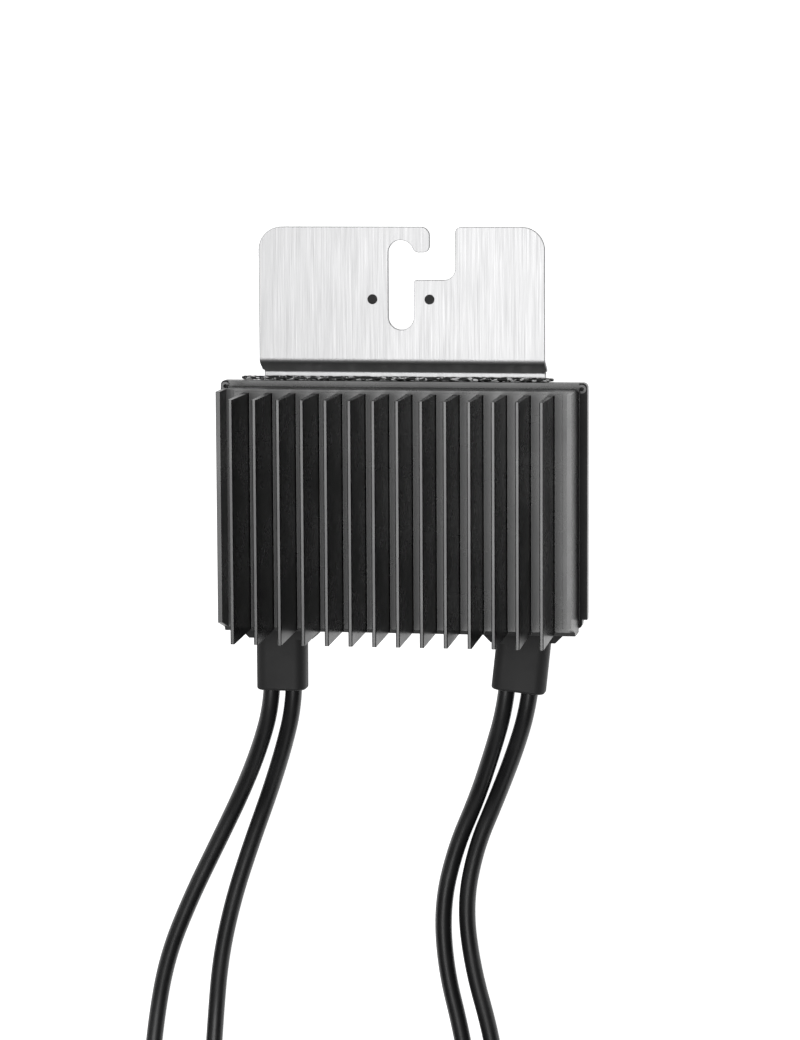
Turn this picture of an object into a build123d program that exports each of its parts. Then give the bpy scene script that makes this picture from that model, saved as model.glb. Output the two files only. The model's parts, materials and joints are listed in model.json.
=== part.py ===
from build123d import *
from math import atan2, cos, degrees, pi, radians, sin, tan
import os

os.makedirs("parts", exist_ok=True)

# Frame: the box lies on its back, +X across the fins, +Y towards the hook, +Z out of the fins.
# The rear face is z = 0 and the origin is the middle of the object's footprint without its leads.

# Overall sizes, mm
case_width = 129.0  # across the rim plate
case_length = 84.8  # heat sink, along the fins
hook_reach = 55.8  # bracket, above the heat sink
boot_reach = 22.5  # boots, below the heat sink
overall_length = boot_reach + case_length + hook_reach
rear_depth = 16.0  # rear housing
rim_thick = 4.0  # rim plate
shell_depth = 12.0  # shallow shell under the fins
fin_height = 27.0

# Levels
top_y = overall_length / 2
bottom_y = -overall_length / 2
sink_bottom = bottom_y + boot_reach
sink_top = sink_bottom + case_length
sink_mid = (sink_bottom + sink_top) / 2
rim_back = rear_depth
shell_back = rim_back + rim_thick
shell_front = shell_back + shell_depth
fin_tip = shell_front + fin_height

# Heat sink
rim_over = 2.0  # rim plate beyond the shell, at the top
rim_side = 2.9  # and at each side
rim_notch_high = 4.3  # the rim plate's stepped lower corners
rim_notch_side = 1.7
rim_notch_low = 1.2
rim_corner = 1.7
shell_wall = 3.0
shell_roof = 4.0
shell_chamfer = 1.5
fin_count = 14
fin_pitch = 8.2
fin_root = 2.2
fin_end = 1.4
fin_root_fillet = 0.3
fin_tip_round = 0.35
fin_short_top = 1.3  # the fins stop this far below the shell's top edge
fin_over_bottom = 0.6  # and their tips reach this far past its lower edge
fin_heel = 0.7  # the root ends this far inside it
side_fin_height = 11.0
side_fin_thick = 1.5
side_fin_heel = 3.0
side_fin_rise = 1.5
marker_r = 1.5  # casting bosses in the rim's top corners
marker_high = 0.9
marker_hole_r = 0.7
marker_depth = 1.2
rim_groove = 0.6  # round the shell's foot
rim_groove_deep = 0.8
front_groove = 0.5  # frame line on the shell's front face
front_groove_deep = 0.4
front_groove_top = 0.4  # below its top edge
front_groove_side = 3.9  # and inside each side
shell_half = case_width / 2 - rim_side
cavity_half = shell_half - shell_wall
cavity_roof = shell_front - shell_roof

# Rear housing
housing_inset = 1.6
housing_wall = 2.5
housing_floor = 2.5
housing_corner = 2.5
housing_edge = 1.2
foot_gap_low = rim_notch_low + 0.6  # housing's lower edge above the shell's
housing_half = case_width / 2 - housing_inset
housing_top = sink_top + rim_over - housing_inset
housing_bottom = sink_bottom + foot_gap_low
inner_top = housing_top - housing_wall
inner_bottom = housing_bottom + housing_wall
plate_half = 38.0  # blank rating plate
plate_low = sink_mid - 24.0
plate_high = sink_mid + 20.0
plate_thick = 0.5
plate_corner = 2.0
plate_fit = 0.2
gasket_thick = 0.8
gasket_width = 1.0

# Case screws: four at the corners and two that clamp the bracket's tongue
case_screw_r = 1.5
case_screw_clear = 0.2
case_screw_head_r = 2.9
case_screw_head = 2.2
case_screw_bite = 8.0
post_r = 3.5
head_sink = 3.0
side_screw_x = case_width / 2 - 8.1
side_screw_top = sink_top - 6.8
side_screw_low = sink_bottom + 15.0
tongue_screw_x = 28.0
tongue_screw_y = sink_top - 5.8

# Bracket
sheet = 1.5
bracket_width = 100.0
bracket_corner = 8.0
bracket_front = 22.75  # front face of the upper plate
bend_top = top_y - 46.6
bend_drop = 3.6
bend_radius = 1.6
tongue_inset = 0.5
tongue_end = sink_top - 10.3
slot_width = 9.0
slot_top = top_y - 4.5
slot_bottom = top_y - 35.6
hook_tip_x = 10.0
hook_tip_low = 8.8
hook_tip_corner = 3.0
hook_tip_inner = 2.2
entry_x = 19.0
entry_floor = 18.3
entry_top_corner = 2.0
entry_inner_corner = 4.0
entry_edge = 1.0
plug_pitch = 20.0
plug_drop = 25.0
plug_hole_r = 1.5
plug_head_r = 1.7
plug_head = 0.35
plug_tail = 0.9

# Sealant along the joint
sealant_left = 57.5  # out from the middle
sealant_right = 52.5
sealant_high = 1.7
sealant_deep = 1.9

# Boots and leads
cable_d = 6.0
input_boot_width = 17.6
output_boot_width = 18.9
boot_deep = 12.0
boot_z = 17.0
boot_edge = 4.2
input_boot_x = -43.9
output_boot_x = 42.0
output_lean = 6.4  # degrees, towards -X
boot_flange_width = 27.5
boot_flange_deep = 15.0
boot_flange_low = 4.2  # below the heat sink
boot_inner_width = 22.0
boot_inner_deep = 17.0
boot_inner_thick = 3.0
grip_gap = 0.1  # boots in their cut-outs

# Electronics
board_half = 50.0
board_top = sink_top - 12.8
board_bottom = sink_bottom + 13.0
board_thick = 1.6
board_back = 9.0
board_front = board_back + board_thick
board_post_r = 2.6
board_hole_r = 1.4
board_screw_r = 1.25
board_screw_head_r = 2.4
board_inset = 4.0
board_low_screw_x = 13.0
chip_gap = 0.05  # solder film under each component
potting_high = 4.3
sheet_film = 0.4
pedestal_back = 17.0
pedestal_width = 74.0
pedestal_long = 12.0
pedestal_y = sink_bottom + 33.0
fet_high = 4.5
inductor_y = sink_bottom + 53.0
capacitor_y = sink_bottom + 20.0
conductor_r = 1.5
fet_count = 4
fet_pitch = 18.0

# Connectors: measured along each one's axis from the nut's cable end
nut_long = 15.0
nut_r = 9.2
nut_nose_r = 6.6
nut_taper = 4.0
nut_thread_start = 6.0
nut_bore_gap = 0.9
nut_grooves = 12
nut_groove_r = 0.8
thread_r = 7.0
thread_gap = 0.3
thread_start = 9.6
grip_start = 15.4
grip_end = 27.0
grip_r = 9.5
connector_long = 42.0
barrel_r = 6.4
sleeve_r = 7.6
sleeve_bore = 5.2
contact_r = 2.0
crimp_r = 2.5
cable_end = 18.0  # where the lead's sheath stops inside
seal_r = 4.8
seal_start = 9.9
seal_end = 16.6
collet_start = 2.6
collet_end = 8.9
collet_gap = 0.4
collet_fingers = 6
ring_r = 1.0

# Output lead coils
coil_z = 1.0  # the coils rest on their ties
coil_mid_r = 31.0
layer_rise = 0.866 * cable_d
tie_thick = 1.0
tie_width = 3.5
tie_angles_a = (110, 200)
tie_angles_b = (70, -20)

# Routes of the leads: points chosen along each one, from inside the boot to inside the connector or the coil
input_route_a = [
    (-47.3, -56, 17), (-47.4, -72, 17.1), (-48.3, -88.5, 16.4), (-53.4, -104, 12.0),
    (-61.4, -121.5, 4.7), (-70.6, -140, 3), (-81, -161, 3), (-90, -183, 3),
    (-94.6, -207, 3), (-96, -234, 9.5), (-96.4, -260, 9.5),
]
input_route_b = [
    (-39.5, -56, 17), (-39.6, -72, 17.1), (-40.3, -88.5, 16.4), (-44.8, -104, 12.0),
    (-51.4, -121.5, 4.7), (-58.4, -140, 3), (-65.4, -161, 3), (-70.4, -183, 3),
    (-72.6, -207, 3), (-73.2, -234, 9.5), (-73.7, -260, 9.5),
]
output_route_a = [
    (38.6, -56, 17), (36.9, -72, 17.1), (34.8, -88.5, 16.4), (29.9, -104, 12.0),
    (23.6, -121.5, 4.7), (15.6, -140, 3), (10.6, -161, 3), (11.8, -184, 3),
    (17.4, -207, 3), (20.7, -227, 3.4), (21, -246, 4),
]
output_route_b = [
    (46.9, -56, 17), (45.2, -72, 17.1), (42.9, -88.5, 16.4), (37.8, -104, 12.0),
    (30.6, -121.5, 4.7), (22.8, -140, 3), (18.8, -161, 3), (21.6, -184, 3),
    (28.0, -207, 3), (31.1, -227, 3.4), (31, -246, 4),
]
tail_route_a = [(8, -282, 9.2), (-3, -297.7, 9.6), (-19.7, -307.4, 9.5), (-37.4, -314.7, 9.5)]
tail_route_b = [(44, -282, 9.2), (55, -297.7, 9.6), (71.7, -307.4, 9.5), (89.4, -314.7, 9.5)]
coil_centre_a = (-16, -258)
coil_centre_b = (68, -258)


def block(x0, x1, y0, y1, z0, z1):
    """A box between its lowest and highest corners."""
    middle = Vector((x0 + x1) / 2, (y0 + y1) / 2, (z0 + z1) / 2)
    return Pos(middle) * Box(x1 - x0, y1 - y0, z1 - z0)


def post(x, y, r, z0, z1):
    """A round post, hole or disc standing along Z."""
    return Pos(x, y, (z0 + z1) / 2) * Cylinder(r, z1 - z0)


def prism(points, z0, z1):
    """A flat outline in XY, given height."""
    return Pos(0, 0, z0) * extrude(make_face(Polyline(*points, close=True)), z1 - z0)


def corner_edges(solid, *places):
    """The edges along Z that pass through the given (x, y) places."""
    found = ShapeList()
    for edge in solid.edges().filter_by(Axis.Z):
        middle = edge.center()
        if any(abs(middle.X - x) < 0.05 and abs(middle.Y - y) < 0.05 for x, y in places):
            found.append(edge)
    return found


def mirrored(x, y):
    return [(x, y), (-x, y)]


def screw_places():
    """Case screws: side ones, then the pair through the bracket's tongue."""
    sides = mirrored(side_screw_x, side_screw_top) + mirrored(side_screw_x, side_screw_low)
    return sides, mirrored(tongue_screw_x, tongue_screw_y)


def save(node, solids):
    """One file for one node, which may hold several separate solids."""
    group = solids if isinstance(solids, list) else [solids]
    pieces = [s for part in group for s in part.solids()]
    export_step(Compound(children=pieces) if len(pieces) > 1 else pieces[0], f"parts/{node}.step")


def rim_outline():
    """The rim plate's outline, with its stepped lower corners."""
    half = case_width / 2
    step = half - rim_notch_side
    top = sink_top + rim_over
    high = sink_bottom + rim_notch_high
    low = sink_bottom + rim_notch_low
    return [(-step, low), (step, low), (step, high), (half, high),
            (half, top), (-half, top), (-half, high), (-step, high)]


def rim_plate():
    outline = rim_outline()
    plate = prism(outline, rim_back, shell_back)
    plate = fillet(corner_edges(plate, *outline[4:6]), rim_corner)
    plate = fillet(corner_edges(plate, *outline[:2]), rim_corner)
    return plate


def fin_profile(x):
    """One fin's cross-section in XZ, with small fillets at its foot and a rounded tip."""
    root = fin_root / 2
    tip = fin_end / 2
    flat = tip - fin_tip_round
    bend = fin_tip - fin_tip_round
    foot = shell_front - 0.5
    flare = root + fin_root_fillet
    left = [(x - flare, foot), (x - flare, shell_front), (x - root, shell_front + fin_root_fillet),
            (x - tip, bend), (x - flat, fin_tip)]
    right = [(x + flat, fin_tip), (x + tip, bend), (x + root, shell_front + fin_root_fillet),
             (x + flare, shell_front), (x + flare, foot)]
    edges = [Line(left[0], left[1]),
             RadiusArc(left[1], left[2], -fin_root_fillet),
             Line(left[2], left[3]),
             RadiusArc(left[3], left[4], fin_tip_round),
             Line(left[4], right[0]),
             RadiusArc(right[0], right[1], fin_tip_round),
             Line(right[1], right[2]),
             RadiusArc(right[2], right[3], -fin_root_fillet),
             Line(right[3], right[4]),
             Line(right[4], left[0])]
    return make_face(Wire(edges))


def fins():
    """The tall fins: extruded along Y, then their lower ends cut to a slight slope."""
    first = -fin_pitch * (fin_count - 1) / 2
    top = sink_top - fin_short_top
    low = sink_bottom - fin_over_bottom
    heel = sink_bottom + fin_heel
    made = []
    for i in range(fin_count):
        profile = Plane.XZ * fin_profile(first + fin_pitch * i)
        fin = Pos(0, top, 0) * extrude(profile, top - low)
        made.append(fin)
    reach = case_width
    slope = make_face(Polyline((low - 5, shell_front - 3), (heel, shell_front - 3), (heel, shell_front),
                               (low, fin_tip), (low - 5, fin_tip), close=True))
    cut = Pos(-reach / 2, 0, 0) * extrude(Plane.YZ * slope, reach)
    return [fin - cut for fin in made]


def side_fins():
    """Two low fins along the shell's sides, chamfered at the lower end."""
    tip = shell_front + side_fin_height
    low = sink_bottom + side_fin_rise
    made = []
    for side in (-1, 1):
        outline = make_face(Polyline((low, shell_front - 1), (sink_top, shell_front - 1), (sink_top, tip),
                                     (low + side_fin_heel, tip), (low, shell_front), close=True))
        outer = side * shell_half
        start = min(outer, outer - side * side_fin_thick)
        made.append(Pos(start, 0, 0) * extrude(Plane.YZ * outline, side_fin_thick))
    return made


def heat_sink():
    """Casting: rim plate, shallow shell open to the rear, fins, screw posts and a pad for the transistors."""
    shell = block(-shell_half, shell_half, sink_bottom, sink_top, shell_back, shell_front)
    front = shell.faces().sort_by(Axis.Z)[-1]
    low_edge = front.edges().filter_by(Axis.X).sort_by(Axis.Y)[0]
    shell = chamfer(low_edge, shell_chamfer)
    sides = corner_edges(shell, *mirrored(shell_half, sink_top))
    shell = fillet(sides, rim_corner)
    cast = rim_plate() + shell
    cast -= block(-cavity_half, cavity_half, sink_bottom + shell_wall, sink_top - shell_wall,
                  rim_back - 1, cavity_roof)
    side_posts, tongue_posts = screw_places()
    inside = block(-shell_half, shell_half, sink_bottom, sink_top, rim_back, shell_front - 1)
    for x, y in side_posts + tongue_posts:
        cast += post(x, y, post_r, rim_back, cavity_roof + 1) & inside
    cast += block(-pedestal_width / 2, pedestal_width / 2, pedestal_y - pedestal_long / 2,
                  pedestal_y + pedestal_long / 2, pedestal_back, cavity_roof + 1)
    for fin in fins() + side_fins():
        cast += fin
    for x, y in side_posts + tongue_posts:
        cast -= post(x, y, case_screw_r, rim_back - 1, rim_back + case_screw_bite)
    for boot_x, width in boot_places():
        cast -= boot_cutout(boot_x, width)
    for x, y in mirrored(case_width / 2 - marker_r - 0.3, sink_top + rim_over - marker_r - 0.5):
        cast += post(x, y, marker_r, shell_back - 1, shell_back + marker_high)
        cast -= post(x, y, marker_hole_r, shell_back - marker_depth, fin_tip)
    return cast - shell_grooves()


def shell_grooves():
    """Shallow lines in the casting: one in the rim round the shell's foot, one inside the front face's edge."""
    wide = shell_half + rim_groove
    foot = block(-wide, wide, sink_bottom + rim_notch_high, sink_top + rim_groove,
                 shell_back - rim_groove_deep, shell_back + marker_high)
    foot -= block(-shell_half, shell_half, sink_bottom, sink_top, rim_back, fin_tip)
    frame_half = shell_half - front_groove_side
    frame_top = sink_top - front_groove_top
    floor = shell_front - front_groove_deep
    front = block(-frame_half, frame_half, sink_bottom + 3, frame_top, floor, shell_front + 0.1)
    front -= block(-frame_half + front_groove, frame_half - front_groove, sink_bottom, frame_top - front_groove,
                   rim_back, fin_tip)
    return foot + front


def boot_places():
    """Each boot's middle and width, across the case."""
    return (input_boot_x, input_boot_width), (output_boot_x, output_boot_width)


def boot_cutout(x, width):
    """The opening in both halves of the case that a boot's neck fills."""
    wide = width / 2 + grip_gap
    deep = boot_deep / 2 + grip_gap
    return block(x - wide, x + wide, sink_bottom - 1, inner_bottom + 6, boot_z - deep, boot_z + deep)


def rear_housing():
    """Tray with posts, ribs, a gasket groove and a seat for the bracket's tongue."""
    tray = block(-housing_half, housing_half, housing_bottom, housing_top, 0, rear_depth)
    corners = [(x, y) for y in (housing_bottom, housing_top) for x in (-housing_half, housing_half)]
    tray = fillet(corner_edges(tray, *corners), housing_corner)
    rear = tray.faces().sort_by(Axis.Z)[0]
    tray = chamfer(rear.edges(), housing_edge)
    half = housing_half - housing_wall
    hollow = block(-half, half, inner_bottom, inner_top, housing_floor, rear_depth + 1)
    tray -= hollow
    room = block(-housing_half + 1, housing_half - 1, housing_bottom + 1, housing_top - 1, 1, rear_depth)
    side_posts, tongue_posts = screw_places()
    for x, y in side_posts:
        tray += post(x, y, post_r, housing_floor - 1, rear_depth) & room
    for x, y in tongue_posts:
        tray += post(x, y, post_r, housing_floor - 1, rear_depth - sheet) & room
    for x, y in board_places():
        tray += post(x, y, board_post_r, housing_floor - 1, board_back)
    tray -= gasket_ring(rear_depth + 1)
    tongue = bracket_width / 2 - tongue_inset + grip_gap
    tray -= block(-tongue, tongue, inner_top - 1, housing_top + 1, rear_depth - sheet, rear_depth + 1)
    for boot_x, width in boot_places():
        tray -= boot_cutout(boot_x, width)
    for x, y in side_posts + tongue_posts:
        tray -= post(x, y, case_screw_r + case_screw_clear, -1, rear_depth + 1)
        tray -= post(x, y, case_screw_head_r + case_screw_clear, -1, head_sink)
    for x, y in board_places():
        tray -= post(x, y, board_screw_r, board_back - 5.5, board_back + 1)
    tray -= plate_recess()
    return tray


def board_places():
    """The circuit board's four screw places."""
    return (mirrored(board_half - board_inset, board_top - board_inset)
            + mirrored(board_low_screw_x, board_bottom + board_inset))


def gasket_ring(z1):
    """A flat ring along the middle of the housing's rim, from the groove's floor to z1."""
    wide = housing_half - (housing_wall - gasket_width) / 2
    low = housing_bottom + (housing_wall - gasket_width) / 2
    high = housing_top - (housing_wall - gasket_width) / 2
    z0 = rear_depth - gasket_thick
    ring = block(-wide, wide, low, high, z0, z1)
    ring -= block(-wide + gasket_width, wide - gasket_width, low + gasket_width, high - gasket_width,
                  z0 - 1, z1 + 1)
    return ring


def housing_gasket():
    """The seal in the rim's groove, cut away where the tongue and the boots pass."""
    ring = gasket_ring(rear_depth)
    tongue = bracket_width / 2 - tongue_inset + grip_gap
    ring -= block(-tongue, tongue, inner_top - 1, housing_top + 1, 0, rear_depth + 1)
    for boot_x, width in boot_places():
        ring -= boot_cutout(boot_x, width)
    return ring


def plate_recess():
    return block(-plate_half, plate_half, plate_low, plate_high, -1, plate_thick)


def rating_plate():
    """Blank plate let into the rear face."""
    half = plate_half - plate_fit
    low, high = plate_low + plate_fit, plate_high - plate_fit
    plate = block(-half, half, low, high, 0.1, plate_thick)
    places = [(x, y) for x in (-half, half) for y in (low, high)]
    return fillet(corner_edges(plate, *places), plate_corner)


def case_screws():
    """Pan-head screws from the rear, sunk in the housing."""
    made = []
    side_posts, tongue_posts = screw_places()
    for x, y in side_posts + tongue_posts:
        shank = post(x, y, case_screw_r, head_sink, rim_back + case_screw_bite - 1)
        head = post(x, y, case_screw_head_r, head_sink - case_screw_head, head_sink)
        recess = Pos(x, y, head_sink - case_screw_head) * extrude(RegularPolygon(1.3, 6), 1.2)
        made.append(shank + head - recess)
    return made


def bracket_outline():
    """The bracket seen from the front: rounded plate, hook slot and side entry, narrower tongue."""
    half = bracket_width / 2
    tongue = half - tongue_inset
    bend = bend_top - bend_drop
    body = prism([(-half, bend), (half, bend), (half, top_y), (-half, top_y)], 0, fin_tip)
    body = fillet(corner_edges(body, (half, top_y), (-half, top_y)), bracket_corner)
    body += block(-tongue, tongue, tongue_end, bend + 1, 0, fin_tip)
    slot_half = slot_width / 2
    body -= block(-slot_half, slot_half, slot_bottom + slot_half, slot_top - slot_half, -1, fin_tip + 1)
    for y in (slot_bottom + slot_half, slot_top - slot_half):
        body -= post(0, y, slot_half, -1, fin_tip + 1)
    floor = top_y - entry_floor
    lip = top_y - hook_tip_low
    way = prism([(0, floor), (entry_x, floor), (entry_x, top_y + 5), (hook_tip_x, top_y + 5),
                 (hook_tip_x, lip), (0, lip)], -1, fin_tip + 1)
    body -= way
    for places, r in ((((hook_tip_x, top_y),), hook_tip_corner),
                      (((hook_tip_x, lip), (slot_half, lip)), hook_tip_inner),
                      (((entry_x, top_y),), entry_top_corner),
                      (((entry_x, floor),), entry_inner_corner),
                      (((slot_half, floor),), entry_edge)):
        body = fillet(corner_edges(body, *places), r)
    return body


def bracket_section():
    """The folded sheet seen from the side, as a face in YZ."""
    upper = bracket_front - sheet / 2
    lower = rim_back - sheet / 2
    line = FilletPolyline((top_y + 2, upper), (bend_top, upper), (bend_top - bend_drop, lower),
                          (tongue_end - 2, lower), radius=bend_radius)
    return trace(line, sheet)


def mounting_bracket():
    """Stainless sheet folded twice, held between the casting and the rear housing."""
    wide = bracket_width + 2
    sheet_metal = Pos(-wide / 2, 0, 0) * extrude(Plane.YZ * bracket_section(), wide)
    bracket = bracket_outline() & sheet_metal
    for x, y in mirrored(plug_pitch / 2, top_y - plug_drop):
        bracket -= post(x, y, plug_hole_r, bracket_front - 3, bracket_front + 1)
    for x, y in screw_places()[1]:
        bracket -= post(x, y, case_screw_r + case_screw_clear, 0, rim_back + 1)
    return bracket


def bracket_plugs():
    """Push-in plugs with a thin head in front and a tapered tail behind."""
    made = []
    back = bracket_front - sheet
    for x, y in mirrored(plug_pitch / 2, top_y - plug_drop):
        stem = post(x, y, plug_hole_r, back, bracket_front)
        head = post(x, y, plug_head_r, bracket_front, bracket_front + plug_head)
        tail = Pos(x, y, back - plug_tail / 2) * Cone(plug_hole_r - 0.5, plug_hole_r, plug_tail)
        made.append(stem + head + tail)
    return made


def joint_sealant():
    """Bead on the rim's top edge, in front of the bracket."""
    top = sink_top + rim_over
    tongue = bracket_width / 2 - tongue_inset + grip_gap
    bead = block(-sealant_left, sealant_right, top, top + sealant_high, rim_back, rim_back + sealant_deep)
    bead = fillet(bead.edges().filter_by(Axis.X).sort_by(Axis.Y)[-2:].sort_by(Axis.Z)[-1:], 1.2)
    for side, reach in ((-1, sealant_left), (1, sealant_right)):
        ends = sorted((side * tongue, side * reach))
        bead += block(*ends, housing_top, top + sealant_high - 0.5, rear_depth - 2.5, rim_back)
    return bead


def boot(x, width, lean):
    """Rubber boot: inner flange, neck through the case, outer flange and the sleeve round two leads."""
    neck_low = sink_bottom - boot_flange_low
    wide = width / 2
    end_y = bottom_y + wide * sin(radians(lean))
    slide = (neck_low - end_y) * tan(radians(lean))
    section = RectangleRounded(width, boot_deep, boot_edge)
    start = Plane((x, neck_low + 0.5, boot_z), x_dir=(1, 0, 0), z_dir=(0, -1, 0))
    end = Plane((x - slide, end_y, boot_z), x_dir=(cos(radians(lean)), -sin(radians(lean)), 0),
                z_dir=(-sin(radians(lean)), -cos(radians(lean)), 0))
    sleeve = loft([start * section, end * section], ruled=True)
    sleeve = fillet(sleeve.faces().sort_by(Axis.Y)[0].edges(), 0.9)
    neck = block(x - wide, x + wide, neck_low, inner_bottom + 1, boot_z - boot_deep / 2, boot_z + boot_deep / 2)
    half = boot_flange_width / 2
    z0 = boot_z - boot_flange_deep / 2
    outer = block(x - half, x + half, neck_low, housing_bottom - 0.02, z0, rim_back)
    outer = chamfer(outer.edges().filter_by(Axis.Z).sort_by(Axis.Y)[:2], 2.4)
    front = block(x - half, x + half, neck_low, sink_bottom + rim_notch_low - 0.02, rim_back, shell_back)
    front = chamfer(front.edges().filter_by(Axis.Z).sort_by(Axis.Y)[:2], 2.4)
    inner_half = boot_inner_width / 2
    far = max(inner_bottom, sink_bottom + shell_wall) + 0.02
    inner = block(x - inner_half, x + inner_half, far, far + boot_inner_thick,
                  boot_z - boot_inner_deep / 2, boot_z + boot_inner_deep / 2)
    neck_in = block(x - wide, x + wide, neck_low, far + 1, boot_z - boot_deep / 2, boot_z + boot_deep / 2)
    return sleeve + neck + neck_in + outer + front + inner


def route_radii(points):
    """For each corner, 0.45 of its shorter run over the tangent of half its turn."""
    p = [Vector(*q) for q in points]
    radii = []
    for a, b, c in zip(p, p[1:], p[2:]):
        turn = (b - a).get_angle(c - b)
        shorter = min((b - a).length, (c - b).length)
        radii.append(0.45 * shorter / tan(radians(turn / 2)))
    return radii


def cord_line(points):
    return FilletPolyline(*points, radius=route_radii(points))


def cord_tube(name, points):
    """A lead's plain tube: straight runs joined by tangent arcs."""
    line = cord_line(points)
    section = Plane(line @ 0, z_dir=line % 0) * Circle(cable_d / 2)
    tube = sweep(section, path=line)
    share = tube.volume / (pi * cable_d ** 2 / 4 * line.length)
    print(name, "length", round(line.length, 1), "volume over section x length", round(share, 4),
          "radii", [round(r) for r in route_radii(points)])
    return tube


def end_place(points):
    """Where a connector sits: its nut's cable end, and its heading in degrees."""
    a, b = Vector(*points[-2]), Vector(*points[-1])
    along = (b - a).normalized()
    return b - along * cable_end, degrees(atan2(along.Y, along.X))


def seated(solid, points):
    """Moves a piece built along +X from its own origin to the end of a lead."""
    start, heading = end_place(points)
    return Pos(start) * Rot(0, 0, heading) * solid


def rod(r, x0, x1):
    return Pos((x0 + x1) / 2, 0, 0) * Rot(0, 90, 0) * Cylinder(r, x1 - x0)


def taper(r0, r1, x0, x1):
    return Pos((x0 + x1) / 2, 0, 0) * Rot(0, 90, 0) * Cone(r0, r1, x1 - x0)


def gland_nut():
    """Union nut: tapered nose, grooved grip, coned seat and a clearance bore for the thread."""
    nut = taper(nut_nose_r, nut_r, 0, nut_taper) + rod(nut_r, nut_taper, nut_long)
    nut = chamfer(nut.edges().sort_by(Axis.X)[-1], 0.5)
    for i in range(nut_grooves):
        angle = 360 * i / nut_grooves
        groove = Rot(angle, 0, 0) * Pos(0, 0, nut_r + 0.25) * rod(nut_groove_r, nut_taper + 1, nut_long + 1)
        nut -= groove
    nut -= rod(cable_d / 2 + nut_bore_gap, -1, 3)
    nut -= taper(cable_d / 2 + nut_bore_gap + 0.8, thread_r - 0.2, 1.6, nut_thread_start)
    nut -= rod(thread_r + thread_gap, nut_thread_start - 0.01, nut_long + 1)
    return nut


def collet():
    """Split clamping ring between the nut's cone and the seal."""
    bore = cable_d / 2 + collet_gap
    ring = taper(bore + 0.8, thread_r - 0.9, collet_start, nut_thread_start + 0.3)
    ring += rod(thread_r - 0.9, nut_thread_start + 0.3, collet_end)
    ring -= rod(bore, collet_start - 1, collet_end + 1)
    for i in range(collet_fingers):
        slit = block(collet_start - 1, collet_end - 2.2, -0.4, 0.4, 0, thread_r)
        ring -= Rot(360 * i / collet_fingers, 0, 0) * slit
    return ring


def seal_sleeve():
    return rod(seal_r, seal_start, seal_end) - rod(cable_d / 2, seal_start - 1, seal_end + 1)


def connector_base():
    """What plug and socket share: thread, grip section with two flats, bores for seal, sheath and crimp."""
    body = rod(thread_r, thread_start, grip_start + 1)
    grip = rod(grip_r, grip_start, grip_end)
    grip = chamfer(grip.edges().filter_by(GeomType.CIRCLE), 0.8)
    for side in (-1, 1):
        flat = block(grip_start - 1, grip_end + 1, side * 8.2 - 1 + side, side * 8.2 + 1 + side, -12, 12)
        grip -= flat
        for i in range(4):
            x = grip_start + 2.6 + 2.1 * i
            grip -= block(x - 0.45, x + 0.45, side * 8.2 - 0.6, side * 8.2 + 0.6, -5, 5)
    body += grip
    return body


def connector_bores():
    cut = rod(seal_r, thread_start - 1, seal_end)
    cut += rod(cable_d / 2, seal_end - 1, cable_end)
    cut += rod(crimp_r, cable_end - 1, grip_end)
    return cut


def socket_body():
    """Female side: long barrel with two latch windows."""
    body = connector_base() + rod(barrel_r, grip_end - 1, connector_long)
    body = chamfer(body.edges().sort_by(Axis.X)[-1], 0.6)
    body += rod(barrel_r + 1.0, grip_end, grip_end + 2.5)
    for side in (-1, 1):
        window = block(32.0, 36.5, side * 5.2 - 1.6, side * 5.2 + 1.6, -2.6, 2.6)
        body -= window
    body -= connector_bores()
    body -= rod(contact_r + 0.6, grip_end - 1, connector_long + 1)
    return body


def plug_body():
    """Male side: open sleeve with two latch arms."""
    body = connector_base() + rod(sleeve_r, grip_end - 1, connector_long - 5)
    body -= rod(sleeve_bore, grip_end + 1.5, connector_long + 1)
    body -= rod(contact_r, grip_end - 1, grip_end + 2)
    for side in (-1, 1):
        arm = block(grip_end - 1, connector_long, side * 7.4 - 0.9, side * 7.4 + 0.9, -2.4, 2.4)
        hook = block(connector_long - 3, connector_long, side * 6.7 - 0.9, side * 6.7 + 0.9, -2.4, 2.4)
        body += arm + hook
        body -= block(30.5, connector_long - 4.9, side * 8 - 3, side * 8 + 3, 2.4, 3.2)
        body -= block(30.5, connector_long - 4.9, side * 8 - 3, side * 8 + 3, -3.2, -2.4)
    body -= connector_bores()
    return body


def contact(is_pin):
    """Crimped contact: barrel on the conductor, then a pin or a slotted tube."""
    crimp = rod(crimp_r, cable_end, grip_end - 0.5)
    if is_pin:
        nose = rod(contact_r, grip_end - 1, connector_long - 6.5)
        return crimp + chamfer(nose.edges().sort_by(Axis.X)[-1], 0.7)
    tube = rod(contact_r + 0.4, grip_end - 1, connector_long - 3)
    tube -= rod(contact_r - 0.1, grip_end + 1, connector_long)
    for angle in (0, 90):
        tube -= Rot(angle, 0, 0) * block(connector_long - 9, connector_long, -0.25, 0.25, -4, 4)
    return crimp + tube


def sealing_ring():
    """O-ring on the socket's barrel root or inside the plug's sleeve mouth."""
    place = grip_end + 2.5 + ring_r
    return Pos(place, 0, 0) * Rot(0, 90, 0) * Torus(barrel_r + 0.75, 0.75)


def coil_profile(grow):
    """The bundle's outline: three turns below, two above, grown outwards for a tie."""
    low_half = 1.5 * cable_d + grow
    high_half = cable_d + grow
    z0 = coil_z - grow
    z1 = coil_z + cable_d + layer_rise + grow
    mid = coil_z + cable_d / 2
    return [(coil_mid_r - low_half, z0), (coil_mid_r + low_half, z0), (coil_mid_r + low_half, mid + 1),
            (coil_mid_r + high_half, z1), (coil_mid_r - high_half, z1), (coil_mid_r - low_half, mid + 1)]


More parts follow.
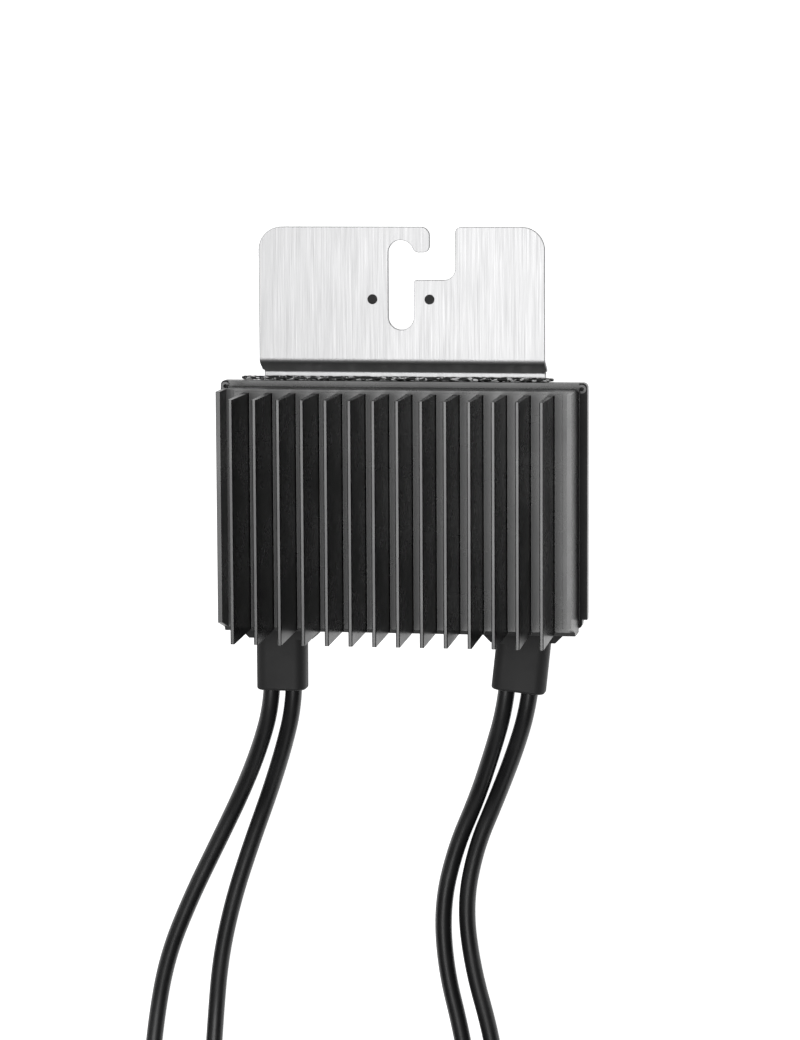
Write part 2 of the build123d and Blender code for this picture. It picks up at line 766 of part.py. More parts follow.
def coil(centre):
    """A lead's coil as one closed ring of its outer shape."""
    face = make_face(Polyline(*coil_profile(0), close=True))
    ring = revolve(Plane.XZ * face, Axis.Z)
    return Pos(*centre, 0) * ring


def coil_ties(centre, angles):
    """Bands round the bundle."""
    made = []
    outer = make_face(Polyline(*coil_profile(tie_thick), close=True))
    inner = make_face(Polyline(*coil_profile(0.15), close=True))
    for angle in angles:
        band = extrude(Plane.XZ * (outer - inner), tie_width / 2, both=True)
        made.append(Pos(*centre, 0) * Rot(0, 0, angle) * band)
    return made


def circuit_board():
    board = block(-board_half, board_half, board_bottom, board_top, board_back, board_front)
    for x, y in board_places():
        board -= post(x, y, board_hole_r, board_back - 1, board_front + 1)
    return board


def board_screws():
    made = []
    for x, y in board_places():
        shank = post(x, y, board_screw_r, board_back - 5, board_front)
        made.append(shank + post(x, y, board_screw_head_r, board_front, board_front + 1.6))
    return made


def on_board(x, y, wide, long, high):
    z0 = board_front + chip_gap
    return block(x - wide / 2, x + wide / 2, y - long / 2, y + long / 2, z0, z0 + high)


def inductor_cores():
    """Two ferrite pot cores: base, centre leg and side cheeks."""
    made = []
    for x in (-24, 24):
        core = on_board(x, inductor_y, 26, 26, 15)
        core -= post(x, inductor_y, 11.4, board_front + 3, board_front + 12)
        core -= block(x - 8, x + 8, inductor_y - 14, inductor_y + 14, board_front + 3, board_front + 12)
        core += post(x, inductor_y, 5.4, board_front + 2, board_front + 13)
        made.append(core)
    return made


def inductor_windings():
    made = []
    for x in (-24, 24):
        coil_block = post(x, inductor_y, 11.1, board_front + 3.3, board_front + 11.7)
        made.append(coil_block - post(x, inductor_y, 5.7, board_front, board_front + 15))
    return made


def film_capacitors(places):
    return [fillet(on_board(x, y, 7.5, 13, 11).edges().filter_by(Axis.Y), 0.8) for x, y in places]


def power_transistors():
    """Flat power packages under the casting's pad."""
    first = -fet_pitch * (fet_count - 1) / 2
    return [on_board(first + fet_pitch * i, pedestal_y, 10, 9, fet_high) for i in range(fet_count)]


def thermal_pads():
    first = -fet_pitch * (fet_count - 1) / 2
    z0 = board_front + chip_gap + fet_high
    return [block(first + fet_pitch * i - 5.5, first + fet_pitch * i + 5.5, pedestal_y - 5, pedestal_y + 5,
                  z0, pedestal_back) for i in range(fet_count)]


def control_chips():
    return [on_board(0, inductor_y, 10, 10, 1.2), on_board(0, inductor_y - 16, 5, 6, 1.4)]


def small_parts():
    """Rows of small ceramic capacitors and resistors."""
    row = [on_board(-4.5 + 3 * i, inductor_y + 10, 1.6, 3.2, 1.3) for i in range(4)]
    row += [on_board(-6 + 3 * i, capacitor_y + 1, 1.6, 3.2, 1.3) for i in range(5)]
    return row


def shunt_resistors():
    return [on_board(x, pedestal_y, 6.5, 3.2, 0.8) for x in (-fet_pitch, fet_pitch)]


def inner_ends():
    """Where each lead's sheath stops inside the case."""
    return [Vector(*route[0]) for route in (input_route_a, input_route_b, output_route_a, output_route_b)]


def cable_terminals():
    """A metal clamp post on the board for each lead."""
    made = []
    for end in inner_ends():
        y = board_bottom + 4.5
        clamp = on_board(end.X, y, 6.4, 6.0, boot_z + 3.0 - board_front)
        clamp -= Pos(end.X, y, boot_z) * Rot(90, 0, 0) * Cylinder(conductor_r, 20)
        made.append(clamp)
    return made


def lead_conductors():
    """Bare conductor from each sheath's end through its terminal."""
    made = []
    for end in inner_ends():
        reach = board_bottom + 8.5 - end.Y
        made.append(Pos(end.X, end.Y + reach / 2, boot_z) * Rot(90, 0, 0) * Cylinder(conductor_r, reach))
    return made


def insulating_sheet():
    z1 = housing_floor + sheet_film
    film = block(-board_half, board_half, board_bottom, board_top, housing_floor, z1)
    for x, y in board_places() + screw_places()[1]:
        film -= post(x, y, post_r + 0.2, 0, rear_depth)
    return film


def potting_layer():
    """Compound between the tray's floor and the board."""
    half = housing_half - housing_wall
    fill = block(-half, half, inner_bottom, inner_top, housing_floor, housing_floor + potting_high)
    fill -= insulating_sheet()
    side_posts, tongue_posts = screw_places()
    for x, y in side_posts + tongue_posts:
        fill -= post(x, y, post_r, 0, rear_depth)
    for x, y in board_places():
        fill -= post(x, y, board_post_r, 0, rear_depth)
    return fill


routes = {
    "input_a": (input_route_a, "plug"), "input_b": (input_route_b, "socket"),
    "output_a": (tail_route_a, "socket"), "output_b": (tail_route_b, "plug"),
}

save("heat_sink", heat_sink())
save("rear_housing", rear_housing())
save("housing_gasket", housing_gasket())
save("rating_plate", rating_plate())
save("case_screws", case_screws())
save("mounting_bracket", mounting_bracket())
save("bracket_plugs", bracket_plugs())
save("joint_sealant", joint_sealant())

input_tubes = [cord_tube("input_cable_a", input_route_a), cord_tube("input_cable_b", input_route_b)]
output_tubes = [cord_tube("output_cable_a", output_route_a), cord_tube("output_cable_b", output_route_b)]
conductors = lead_conductors()
input_boot = boot(input_boot_x, input_boot_width, 0)
output_boot = boot(output_boot_x, output_boot_width, output_lean)
for solid in input_tubes + conductors[:2]:
    input_boot -= solid
for solid in output_tubes + conductors[2:]:
    output_boot -= solid
save("input_boot", input_boot)
save("output_boot", output_boot)
for letter, tube in zip("ab", input_tubes):
    save(f"input_cable_{letter}", tube)
for letter, tube in zip("ab", output_tubes):
    save(f"output_cable_{letter}", tube)
for letter, centre, tail, angles in (("a", coil_centre_a, tail_route_a, tie_angles_a),
                                     ("b", coil_centre_b, tail_route_b, tie_angles_b)):
    save(f"output_coil_{letter}", coil(centre))
    save(f"output_tail_{letter}", cord_tube(f"output_tail_{letter}", tail))
    save(f"coil_ties_{letter}", coil_ties(centre, angles))

for name, (route, kind) in routes.items():
    start, heading = end_place(route)
    print(name, "connector at", [round(v, 3) for v in start], "heading", round(heading, 3))
    save(f"{name}_connector", seated(plug_body() if kind == "plug" else socket_body(), route))
    save(f"{name}_nut", seated(gland_nut(), route))
    save(f"{name}_collet", seated(collet(), route))
save("connector_contacts", [seated(contact(kind == "plug"), route) for route, kind in routes.values()])
save("connector_seals", [seated(seal_sleeve(), route) for route, kind in routes.values()])
save("connector_rings", [seated(sealing_ring(), route) for route, kind in routes.values() if kind == "socket"])

save("circuit_board", circuit_board())
save("board_screws", board_screws())
save("inductor_cores", inductor_cores())
save("inductor_windings", inductor_windings())
save("input_capacitors", film_capacitors([(-31, capacitor_y), (-20.5, capacitor_y)]))
save("output_capacitors", film_capacitors([(20.5, capacitor_y), (31, capacitor_y)]))
save("power_transistors", power_transistors())
save("thermal_pads", thermal_pads())
save("control_chips", control_chips())
save("small_parts", small_parts())
save("shunt_resistors", shunt_resistors())
save("cable_terminals", cable_terminals())
save("lead_conductors", conductors)
save("insulating_sheet", insulating_sheet())
save("potting_layer", potting_layer())
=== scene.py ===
import bpy
import bmesh
import json
from math import cos, pi, radians, sin
from mathutils import Matrix, Vector, noise


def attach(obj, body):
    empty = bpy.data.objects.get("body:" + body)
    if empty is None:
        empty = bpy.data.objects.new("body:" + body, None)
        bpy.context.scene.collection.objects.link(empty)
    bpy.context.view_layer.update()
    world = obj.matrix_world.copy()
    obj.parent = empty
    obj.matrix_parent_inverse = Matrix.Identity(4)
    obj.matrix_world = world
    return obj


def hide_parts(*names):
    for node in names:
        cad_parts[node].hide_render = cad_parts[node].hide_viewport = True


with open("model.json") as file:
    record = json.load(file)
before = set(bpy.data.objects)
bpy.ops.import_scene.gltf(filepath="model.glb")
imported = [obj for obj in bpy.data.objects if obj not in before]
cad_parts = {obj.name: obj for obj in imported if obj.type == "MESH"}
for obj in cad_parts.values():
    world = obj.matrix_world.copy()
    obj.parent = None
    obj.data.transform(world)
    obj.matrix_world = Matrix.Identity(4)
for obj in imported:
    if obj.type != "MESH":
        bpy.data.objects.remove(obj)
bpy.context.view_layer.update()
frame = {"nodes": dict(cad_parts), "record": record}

mm = 0.001
nodes = frame["nodes"]


viewSettings = {
    "aim": (0.00075, -0.0192, 0.032),
    "sideways": 9.1,  # degrees, towards +X
    "upwards": 6.95,  # degrees, towards +Y
    "roll": -0.30,
    "distance": 1.345,
    "lens": 134.6,
    "sensor": 36.0,
}


def makeCamera(s):
    side, up = radians(s["sideways"]), radians(s["upwards"])
    away = Vector((sin(side) * cos(up), sin(up), cos(side) * cos(up)))
    right = Vector((0, 1, 0)).cross(away).normalized()
    top = away.cross(right)
    turn = Matrix((right, top, away)).transposed()
    data = bpy.data.cameras.new("camera")
    data.sensor_width = s["sensor"]
    data.lens = s["lens"]
    data.clip_start, data.clip_end = 0.05, 10
    camera = bpy.data.objects.new("camera", data)
    camera.matrix_world = (Matrix.Translation(Vector(s["aim"]) + away * s["distance"])
                           @ (turn @ Matrix.Rotation(radians(s["roll"]), 3, "Z")).to_4x4())
    bpy.context.scene.collection.objects.link(camera)
    bpy.context.scene.camera = camera


makeCamera(viewSettings)
print("camera placed")


def newGroup(name, inputs, outputs):
    tree = bpy.data.node_groups.new(name, "ShaderNodeTree")
    for label, kind, value in inputs:
        socket = tree.interface.new_socket(label, in_out="INPUT", socket_type="NodeSocket" + kind)
        if value is not None:
            socket.default_value = value
    for label, kind in outputs:
        tree.interface.new_socket(label, in_out="OUTPUT", socket_type="NodeSocket" + kind)
    start = tree.nodes.new("NodeGroupInput")
    end = tree.nodes.new("NodeGroupOutput")
    return tree, start.outputs, end.inputs


def addNode(tree, kind, links=(), **values):
    node = tree.nodes.new("ShaderNode" + kind)
    for key, value in values.items():
        setattr(node, key, value)
    for socket, source in dict(links).items():
        if isinstance(source, bpy.types.NodeSocket):
            tree.links.new(source, node.inputs[socket])
        else:
            node.inputs[socket].default_value = source
    return node


def stretched(tree, scale):
    place = addNode(tree, "TexCoord")
    return addNode(tree, "Mapping", {"Vector": place.outputs["Object"], "Scale": scale}).outputs["Vector"]


grainSettings = {"stretch": 0.012, "fine": 5200.0, "broad": 2600.0, "low": 0.6, "high": 1.4}


def grainGroup(s):  # long fine lines along Y
    tree, given, out = newGroup("brushedGrain", [("Depth", "Float", 1.0)], [("Lines", "Float")])
    along = stretched(tree, (1.0, s["stretch"], 1.0))
    lines = addNode(tree, "TexNoise", {"Vector": along, "Scale": s["fine"], "Detail": 3.0, "Roughness": 0.65})
    broad = addNode(tree, "TexNoise", {"Vector": along, "Scale": s["broad"], "Detail": 2.0, "Roughness": 0.5})
    both = addNode(tree, "Math", {0: lines.outputs["Fac"], 1: broad.outputs["Fac"]}, operation="ADD")
    level = addNode(tree, "MapRange", {"Value": both.outputs[0], "From Min": s["low"], "From Max": s["high"]})
    deep = addNode(tree, "Math", {0: level.outputs["Result"], 1: given["Depth"]}, operation="MULTIPLY")
    tree.links.new(deep.outputs[0], out["Lines"])
    return tree


def coatGroup():  # fine orange-peel of a baked coating, and faint handling marks
    tree, given, out = newGroup("coatTexture", [("Scale", "Float", 2200.0), ("Marks", "Float", 1.0)],
                                [("Peel", "Float"), ("Smudge", "Float")])
    place = addNode(tree, "TexCoord").outputs["Object"]
    peel = addNode(tree, "TexNoise", {"Vector": place, "Scale": given["Scale"], "Detail": 4.0,
                                      "Roughness": 0.55})
    smudge = addNode(tree, "TexNoise", {"Vector": place, "Scale": 38.0, "Detail": 5.0, "Roughness": 0.6})
    level = addNode(tree, "MapRange", {"Value": smudge.outputs["Fac"], "From Min": 0.35, "From Max": 0.7})
    marks = addNode(tree, "Math", {0: level.outputs["Result"], 1: given["Marks"]}, operation="MULTIPLY")
    tree.links.new(peel.outputs["Fac"], out["Peel"])
    tree.links.new(marks.outputs[0], out["Smudge"])
    return tree


def facingGroup():  # how far a face looks along Z, in the object's own space
    tree, given, out = newGroup("facingUp", [("Low", "Float", 0.2), ("High", "Float", 0.4)],
                                [("Mask", "Float")])
    place = addNode(tree, "TexCoord")
    parts = addNode(tree, "SeparateXYZ", {"Vector": place.outputs["Normal"]})
    size = addNode(tree, "Math", {0: parts.outputs["Z"]}, operation="ABSOLUTE")
    level = addNode(tree, "MapRange", {"Value": size.outputs[0], "From Min": given["Low"],
                                       "From Max": given["High"]}, clamp=True)
    tree.links.new(level.outputs["Result"], out["Mask"])
    return tree


def heightGroup():  # a mask that rises between two heights
    tree, given, out = newGroup("heightMask", [("Low", "Float", 0.0), ("High", "Float", 1.0)],
                                [("Mask", "Float")])
    place = addNode(tree, "TexCoord")
    parts = addNode(tree, "SeparateXYZ", {"Vector": place.outputs["Object"]})
    level = addNode(tree, "MapRange", {"Value": parts.outputs["Z"], "From Min": given["Low"],
                                       "From Max": given["High"]}, clamp=True)
    tree.links.new(level.outputs["Result"], out["Mask"])
    return tree


def besideGroup():  # a mask for what lies beyond a distance from the middle and below a height
    tree, given, out = newGroup("besideMask", [("Out", "Float", 0.06), ("Under", "Float", 0.02)],
                                [("Mask", "Float")])
    place = addNode(tree, "TexCoord")
    parts = addNode(tree, "SeparateXYZ", {"Vector": place.outputs["Object"]})
    size = addNode(tree, "Math", {0: parts.outputs["X"]}, operation="ABSOLUTE")
    far = addNode(tree, "Math", {0: size.outputs[0], 1: given["Out"]}, operation="GREATER_THAN")
    low = addNode(tree, "Math", {0: parts.outputs["Z"], 1: given["Under"]}, operation="LESS_THAN")
    both = addNode(tree, "Math", {0: far.outputs[0], 1: low.outputs[0]}, operation="MULTIPLY")
    tree.links.new(both.outputs[0], out["Mask"])
    return tree


groups = {
    "grain": grainGroup(grainSettings),
    "coat": coatGroup(),
    "facing": facingGroup(),
    "height": heightGroup(),
    "beside": besideGroup(),
}


def useGroup(tree, name, **values):
    node = tree.nodes.new("ShaderNodeGroup")
    node.node_tree = groups[name]
    for key, value in values.items():
        node.inputs[key].default_value = value
    return node.outputs


def newMaterial(name, roughness, color=(0.5, 0.5, 0.5), **sockets):
    material = bpy.data.materials.new(name)
    material.use_nodes = True
    tree = material.node_tree
    shader = tree.nodes["Principled BSDF"]
    shader.inputs["Base Color"].default_value = (*color, 1)
    shader.inputs["Roughness"].default_value = roughness
    for key, value in sockets.items():
        shader.inputs[key.replace("_", " ")].default_value = value
    return material, tree, shader


def mixColors(tree, mask, a, b):
    node = addNode(tree, "Mix", data_type="RGBA")
    tree.links.new(mask, node.inputs["Factor"])
    for socket, value in ((node.inputs[6], a), (node.inputs[7], b)):
        if isinstance(value, bpy.types.NodeSocket):
            tree.links.new(value, socket)
        else:
            socket.default_value = (*value, 1)
    return node.outputs[2]


def between(tree, value, low, high, start=0.0, end=1.0):
    node = addNode(tree, "MapRange", {"Value": value, "From Min": start, "From Max": end,
                                      "To Min": low, "To Max": high})
    return node.outputs["Result"]


def bumped(tree, shader, height, strength, distance):
    node = addNode(tree, "Bump", {"Height": height, "Strength": strength, "Distance": distance})
    tree.links.new(node.outputs["Normal"], shader.inputs["Normal"])


castSettings = {
    "color": (0.006, 0.006, 0.0063),
    "tipHighlight": (0.02, 0.02, 0.0205),  # painted highlight on the fins' tips
    "roughness": (0.24, 0.33),
    "peel": 0.04,
    "tipFrom": 58.9,  # heights in mm
    "tipTo": 58.99,
    "gloss": 0.6,
    "paintedShadeGloss": 0.1,  # painted shade: less reflection on walls, and on the rim beside the shell
    "sideOut": 61.7,
    "sideUnder": 20.6,
}
# the dark edge colour is partly the sheet's darker cut edge and partly painted shade
steelSettings = {"light": (0.38, 0.38, 0.383), "dark": (0.34, 0.34, 0.343), "edge": (0.03, 0.03, 0.032),
                 "roughness": (0.4, 0.52), "bump": 0.08, "anisotropy": 0.4, "rounded": 0.45}
rubberSettings = {"color": (0.007, 0.007, 0.0073), "pale": (0.011, 0.011, 0.0114), "roughness": (0.65, 0.8)}
jacketSettings = {"color": (0.005, 0.005, 0.0055), "pale": (0.009, 0.009, 0.0095), "roughness": (0.34, 0.46)}


def castingMaterial(s):
    material, tree, shader = newMaterial("blackCoating", 0.4)
    coat = useGroup(tree, "coat", Scale=2600.0)
    # painted highlight: the fins' tip faces above tipFrom get a lighter colour
    tips = useGroup(tree, "height", Low=s["tipFrom"] * mm, High=s["tipTo"] * mm)
    base = mixColors(tree, coat["Smudge"], s["color"], tuple(c * 1.35 for c in s["color"]))
    tree.links.new(mixColors(tree, tips["Mask"], base, s["tipHighlight"]), shader.inputs["Base Color"])
    tree.links.new(between(tree, coat["Smudge"], *s["roughness"]), shader.inputs["Roughness"])
    # painted shade: lower specular level on side-facing walls and on the rim beside the shell darkens them
    beside = useGroup(tree, "beside", Out=s["sideOut"] * mm, Under=s["sideUnder"] * mm)
    facing = useGroup(tree, "facing", Low=0.5, High=0.92)
    inside = between(tree, beside["Mask"], 1.0, 0.0)
    shine = addNode(tree, "Math", {0: facing["Mask"], 1: inside}, operation="MULTIPLY")
    gloss = between(tree, shine.outputs[0], s["paintedShadeGloss"], s["gloss"])
    tree.links.new(gloss, shader.inputs["Specular IOR Level"])
    bumped(tree, shader, coat["Peel"], s["peel"], 0.00006)
    return material


def steelMaterial(s):
    material, tree, shader = newMaterial("brushedStainless", 0.3, Metallic=1.0, Anisotropic=s["anisotropy"])
    along = addNode(tree, "Tangent", direction_type="RADIAL", axis="X")
    tree.links.new(along.outputs["Tangent"], shader.inputs["Tangent"])
    grain = useGroup(tree, "grain", Depth=1.0)
    # dark colour along rounded edges and on sideways-facing faces: partly the darker cut edge of the sheet,
    # partly painted shade
    rounded = addNode(tree, "Bevel", {"Radius": s["rounded"] * mm}, samples=6)
    flat = addNode(tree, "NewGeometry")
    turned = addNode(tree, "VectorMath", {0: rounded.outputs["Normal"], 1: flat.outputs["True Normal"]},
                     operation="DOT_PRODUCT")
    edges = between(tree, turned.outputs["Value"], 1.0, 0.0, 0.9, 0.985)
    facing = useGroup(tree, "facing", Low=0.15, High=0.3)
    tone = mixColors(tree, edges, mixColors(tree, grain["Lines"], s["dark"], s["light"]), s["edge"])
    tree.links.new(mixColors(tree, facing["Mask"], s["edge"], tone), shader.inputs["Base Color"])
    tree.links.new(between(tree, grain["Lines"], *s["roughness"]), shader.inputs["Roughness"])
    bumped(tree, shader, grain["Lines"], s["bump"], 0.00003)
    return material


def mattMaterial(name, s, scale=1500.0, peel=0.15):
    material, tree, shader = newMaterial(name, 0.5)
    coat = useGroup(tree, "coat", Scale=scale)
    tree.links.new(mixColors(tree, coat["Smudge"], s["color"], s["pale"]), shader.inputs["Base Color"])
    tree.links.new(between(tree, coat["Smudge"], *s["roughness"]), shader.inputs["Roughness"])
    bumped(tree, shader, coat["Peel"], peel, 0.00008)
    return material


sealantSettings = {"color": (0.010, 0.010, 0.010), "chip": (0.75, 0.75, 0.75), "scale": 750.0,
                   "stretch": 0.45, "from": 0.545, "to": 0.57}


def speckledSealant(s):  # black, with pale chips that run along it
    material, tree, shader = newMaterial("sealantSpeckled", 0.6)
    along = stretched(tree, (s["stretch"], 1.0, 1.0))
    chips = addNode(tree, "TexNoise", {"Vector": along, "Scale": s["scale"], "Detail": 4.0, "Roughness": 0.7})
    mask = between(tree, chips.outputs["Fac"], 0.0, 1.0, s["from"], s["to"])
    tree.links.new(mixColors(tree, mask, s["color"], s["chip"]), shader.inputs["Base Color"])
    bumped(tree, shader, chips.outputs["Fac"], 0.5, 0.0004)
    return material


def metalMaterial(name, color, roughness):
    material, tree, shader = newMaterial(name, 0.3, Metallic=1.0)
    coat = useGroup(tree, "coat", Scale=1800.0)
    pale = tuple(min(1, c * 1.15) for c in color)
    tree.links.new(mixColors(tree, coat["Smudge"], color, pale), shader.inputs["Base Color"])
    tree.links.new(between(tree, coat["Smudge"], *roughness), shader.inputs["Roughness"])
    return material


def plain(name, color, roughness=(0.4, 0.55), lift=1.3):
    return mattMaterial(name, {"color": color, "pale": tuple(min(1, c * lift) for c in color),
                               "roughness": roughness})


finishes = {
    "black_casting": castingMaterial(castSettings),
    "black_housing": plain("housingBlack", (0.014, 0.014, 0.015)),
    "stainless": steelMaterial(steelSettings),
    "black_plug": plain("plugRubber", (0.006, 0.006, 0.006), (0.6, 0.75)),
    "sealant": speckledSealant(sealantSettings),
    "boot_rubber": mattMaterial("bootRubber", rubberSettings),
    "cable_jacket": mattMaterial("cableJacket", jacketSettings, 2400.0, 0.08),
    "connector_plastic": plain("connectorPlastic", (0.013, 0.013, 0.014), (0.38, 0.5)),
    "tinned_copper": metalMaterial("tinnedCopper", (0.72, 0.68, 0.62), (0.2, 0.35)),
    "zinc_screw": metalMaterial("zincPlate", (0.55, 0.56, 0.58), (0.25, 0.4)),
    "plate_film": plain("plateFilm", (0.42, 0.43, 0.44), (0.35, 0.45), 1.08),
    "tie_plastic": plain("tieNylon", (0.02, 0.02, 0.02), (0.3, 0.4)),
    "board_green": plain("solderMask", (0.01, 0.07, 0.035), (0.25, 0.4)),
    "ferrite": plain("ferriteGrey", (0.05, 0.05, 0.052), (0.5, 0.7)),
    "copper_winding": metalMaterial("enamelledCopper", (0.62, 0.27, 0.12), (0.25, 0.4)),
    "capacitor_case": plain("capacitorCase", (0.42, 0.27, 0.03), (0.25, 0.4)),
    "chip_resin": plain("chipResin", (0.012, 0.012, 0.012), (0.45, 0.6)),
    "pad_grey": plain("padGrey", (0.22, 0.24, 0.28), (0.7, 0.85)),
    "film_amber": plain("filmAmber", (0.5, 0.25, 0.05), (0.2, 0.3)),
    "potting": plain("pottingBlack", (0.02, 0.02, 0.02), (0.3, 0.45)),
    "seal_rubber": plain("sealSilicone", (0.16, 0.03, 0.02), (0.5, 0.65)),
}


def finishCadNodes():
    for part in frame["record"]["subparts"]:
        node = nodes[part["node"]]
        node.data.materials.clear()
        node.data.materials.append(finishes[part["material_slot"]])


finishCadNodes()
print("finishes given to", len(nodes), "parts")


beadSettings = {
    "left": -57.5,
    "right": 52.5,
    "middle": (28.55, 16.95),
    "high": 1.6,
    "deep": 1.85,
    "step": 0.28,
    "around": 18,
    "lump": 0.34,
    "lumpLength": 1.5,
    "ends": 1.2,
    "endSwell": 0.35,
}


def makeBead(s):  # a hand-laid bead: a closed tube whose skin is pushed in and out
    mesh = bpy.data.meshes.new("sealantBead")
    build = bmesh.new()
    count = int((s["right"] - s["left"]) / s["step"])
    rings = []
    for i in range(count + 1):
        x = s["left"] + (s["right"] - s["left"]) * i / count
        inside = min(x - s["left"], s["right"] - x)
        swell = min(1.0, s["endSwell"] + (1 - s["endSwell"]) * (inside / s["ends"]) ** 0.5)
        ring = []
        for k in range(s["around"]):
            angle = 2 * pi * k / s["around"]
            spot = Vector((x / s["lumpLength"], cos(angle) * 1.3, sin(angle) * 1.3))
            swollen = swell * (1 - s["lump"] / 2 + s["lump"] * noise.noise(spot))
            ring.append(build.verts.new((x * mm, (s["middle"][0] + s["high"] / 2 * swollen * cos(angle)) * mm,
                                         (s["middle"][1] + s["deep"] / 2 * swollen * sin(angle)) * mm)))
        rings.append(ring)
    for a, b in zip(rings, rings[1:]):
        for k in range(s["around"]):
            after = (k + 1) % s["around"]
            build.faces.new((a[k], b[k], b[after], a[after]))
    build.faces.new(rings[0])
    build.faces.new(rings[-1][::-1])
    bmesh.ops.recalc_face_normals(build, faces=build.faces)
    build.to_mesh(mesh)
    build.free()
    mesh.shade_smooth()
    bead = bpy.data.objects.new("sealantBead", mesh)
    bpy.context.scene.collection.objects.link(bead)
    mesh.materials.append(finishes["sealant"])
    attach(bead, "root")
    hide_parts("joint_sealant")


makeBead(beadSettings)
print("sealant laid")


leadSettings = {
    "diameter": 0.006,
    "bevelSteps": 6,
    "curveSteps": 10,
    "turnPoints": 16,
    "coilMiddle": 31.0,
    "coilLift": 1.0,
    "turns": 5.125,
    "turnOffsets": (6.0, 0.0, -6.0, -3.0, 3.0, 3.0),  # turn by turn: three below, two above
    "layers": (0, 0, 0, 1, 1, 1),
}
inputRouteA = [
    (-47.3, -56, 17), (-47.4, -72, 17.1), (-48.3, -88.5, 16.4), (-53.4, -104, 12.0),
    (-61.4, -121.5, 4.7), (-70.6, -140, 3), (-81, -161, 3), (-90, -183, 3),
    (-94.6, -207, 3), (-96, -234, 9.5), (-96.1, -243, 9.5), (-96.4, -260, 9.5),
]
inputRouteB = [
    (-39.5, -56, 17), (-39.6, -72, 17.1), (-40.3, -88.5, 16.4), (-44.8, -104, 12.0),
    (-51.4, -121.5, 4.7), (-58.4, -140, 3), (-65.4, -161, 3), (-70.4, -183, 3),
    (-72.6, -207, 3), (-73.2, -234, 9.5), (-73.4, -243, 9.5), (-73.7, -260, 9.5),
]
outputRouteA = [
    (38.6, -56, 17), (36.9, -72, 17.1), (34.8, -88.5, 16.4), (29.9, -104, 12.0),
    (23.6, -121.5, 4.7), (15.6, -140, 3), (10.6, -161, 3), (11.8, -184, 3),
    (17.4, -207, 3), (20.7, -227, 3.4), (21, -246, 4),
]
outputRouteB = [
    (46.9, -56, 17), (45.2, -72, 17.1), (42.9, -88.5, 16.4), (37.8, -104, 12.0),
    (30.6, -121.5, 4.7), (22.8, -140, 3), (18.8, -161, 3), (21.6, -184, 3),
    (28.0, -207, 3), (31.1, -227, 3.4), (31, -246, 4),
]
tailRouteA = [
    (8, -282, 9.2), (-3, -297.7, 9.6), (-16.9, -306.25, 9.5), (-19.7, -307.4, 9.5),
    (-37.4, -314.7, 9.5),
]
tailRouteB = [
    (44, -282, 9.2), (55, -297.7, 9.6), (68.9, -306.25, 9.5), (71.7, -307.4, 9.5),
    (89.4, -314.7, 9.5),
]
coilCentreA = (-16, -258)
coilCentreB = (68, -258)


def smooth(t):
    t = max(0.0, min(1.0, t))
    return t * t * (3 - 2 * t)


def coilTurns(centre, side, s):  # side +1 enters on the right and winds clockwise, -1 is its mirror image
    points = []
    wide = s["diameter"] / mm
    perTurn = s["turnPoints"]
    count = int(s["turns"] * perTurn)
    for i in range(1, count):
        t = i / perTurn
        k = int(t)
        step = smooth((t - k - 0.7) / 0.3)
        after = min(k + 1, len(s["layers"]) - 1)
        offset = s["turnOffsets"][k] * (1 - step) + s["turnOffsets"][after] * step
        layer = s["layers"][k] * (1 - step) + s["layers"][after] * step
        radius = (s["coilMiddle"] + offset) / cos(pi / perTurn)
        angle = -2 * pi * t
        points.append((centre[0] + side * radius * cos(angle), centre[1] + radius * sin(angle),
                       s["coilLift"] + wide / 2 + layer * 0.866 * wide))
    return points


def makeLead(name, points, s):
    data = bpy.data.curves.new(name, "CURVE")
    data.dimensions = "3D"
    data.bevel_depth = s["diameter"] / 2
    data.bevel_resolution = s["bevelSteps"]
    data.resolution_u = s["curveSteps"]
    data.use_fill_caps = True
    spline = data.splines.new("NURBS")
    spline.points.add(len(points) - 1)
    for point, place in zip(spline.points, points):
        point.co = (place[0] * mm, place[1] * mm, place[2] * mm, 1)
    spline.order_u = 3
    spline.use_endpoint_u = True
    lead = bpy.data.objects.new(name, data)
    bpy.context.scene.collection.objects.link(lead)
    data.materials.append(finishes["cable_jacket"])
    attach(lead, "root")
    return lead


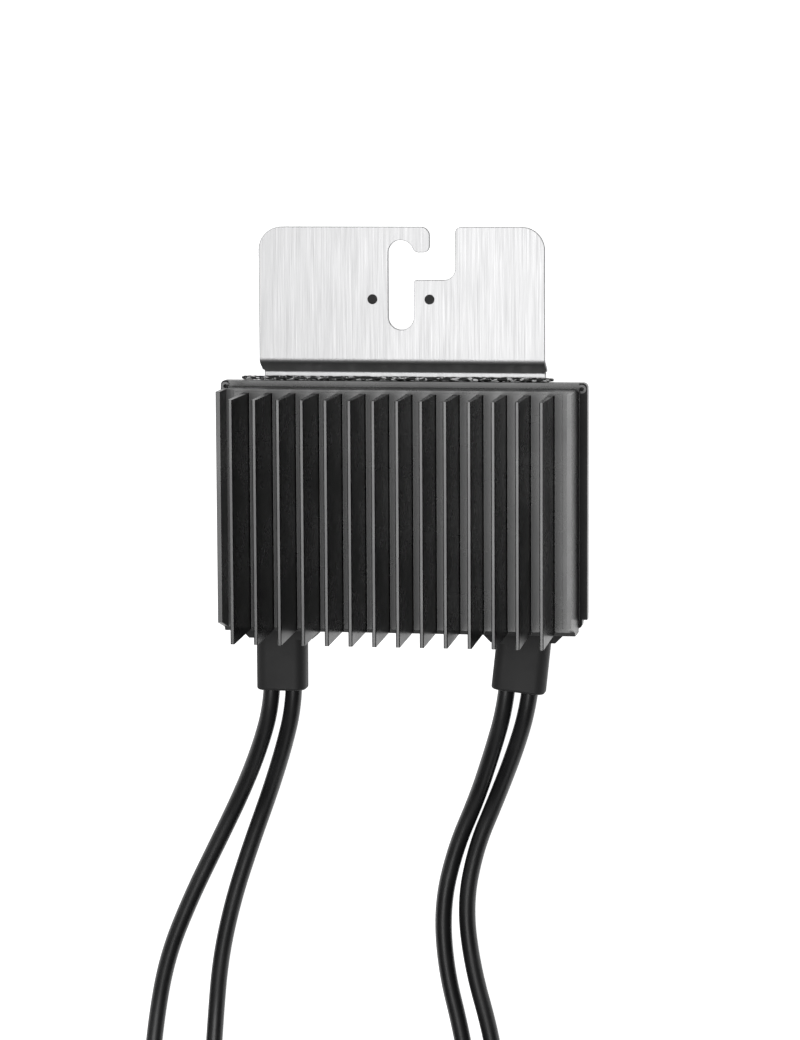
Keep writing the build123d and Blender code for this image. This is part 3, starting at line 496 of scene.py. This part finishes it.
leadA = makeLead("inputLeadA", inputRouteA, leadSettings)
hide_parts("input_cable_a")
leadB = makeLead("inputLeadB", inputRouteB, leadSettings)
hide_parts("input_cable_b")
coilA = coilTurns(coilCentreA, 1, leadSettings)
leadC = makeLead("outputLeadA", outputRouteA + coilA + tailRouteA, leadSettings)
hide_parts("output_cable_a", "output_coil_a", "output_tail_a")
coilB = coilTurns(coilCentreB, -1, leadSettings)
leadD = makeLead("outputLeadB", outputRouteB + coilB + tailRouteB, leadSettings)
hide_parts("output_cable_b", "output_coil_b", "output_tail_b")
print("leads laid")


roomSettings = {"floorSize": 6.0, "floorGlow": 1.0, "floorColor": (0.5, 0.5, 0.5), "world": 0.05}
lampSettings = [
    {"name": "overhead", "place": (-0.06, 0.05, 1.7), "aim": (0, -0.02, 0), "size": 0.95, "power": 20},
    {"name": "left", "place": (-1.3, 0.3, 0.9), "aim": (0, -0.02, 0.02), "size": 0.8, "power": 2},
    {"name": "low", "place": (0.1, -1.4, 0.9), "aim": (0, -0.05, 0.02), "size": 0.8, "power": 1.5},
]


def makeFloor(s):
    mesh = bpy.data.meshes.new("floor")
    half = s["floorSize"] / 2
    corners = [(-half, -half, 0), (half, -half, 0), (half, half, 0), (-half, half, 0)]
    mesh.from_pydata(corners, [], [(0, 1, 2, 3)])
    floor = bpy.data.objects.new("floor", mesh)
    floor.location.z = -0.0002
    bpy.context.scene.collection.objects.link(floor)
    material, tree, shader = newMaterial("floorWhite", 0.9, s["floorColor"])
    shader.inputs["Emission Color"].default_value = (1, 1, 1, 1)
    shader.inputs["Emission Strength"].default_value = s["floorGlow"]
    mesh.materials.append(material)


def makeLamps(lamps):
    for s in lamps:
        data = bpy.data.lights.new(s["name"], "AREA")
        data.shape = "SQUARE"
        data.size = s["size"]
        data.energy = s["power"]
        lamp = bpy.data.objects.new(s["name"], data)
        lamp.location = s["place"]
        lamp.rotation_euler = (Vector(s["aim"]) - Vector(s["place"])).to_track_quat("-Z", "Y").to_euler()
        bpy.context.scene.collection.objects.link(lamp)


def makeWorld(s):
    world = bpy.data.worlds.new("studio")
    world.use_nodes = True
    world.node_tree.nodes["Background"].inputs["Color"].default_value = (1, 1, 1, 1)
    world.node_tree.nodes["Background"].inputs["Strength"].default_value = s["world"]
    bpy.context.scene.world = world


makeFloor(roomSettings)
makeLamps(lampSettings)
makeWorld(roomSettings)
bpy.context.scene.view_settings.view_transform = "Standard"
print("floor and lamps placed")
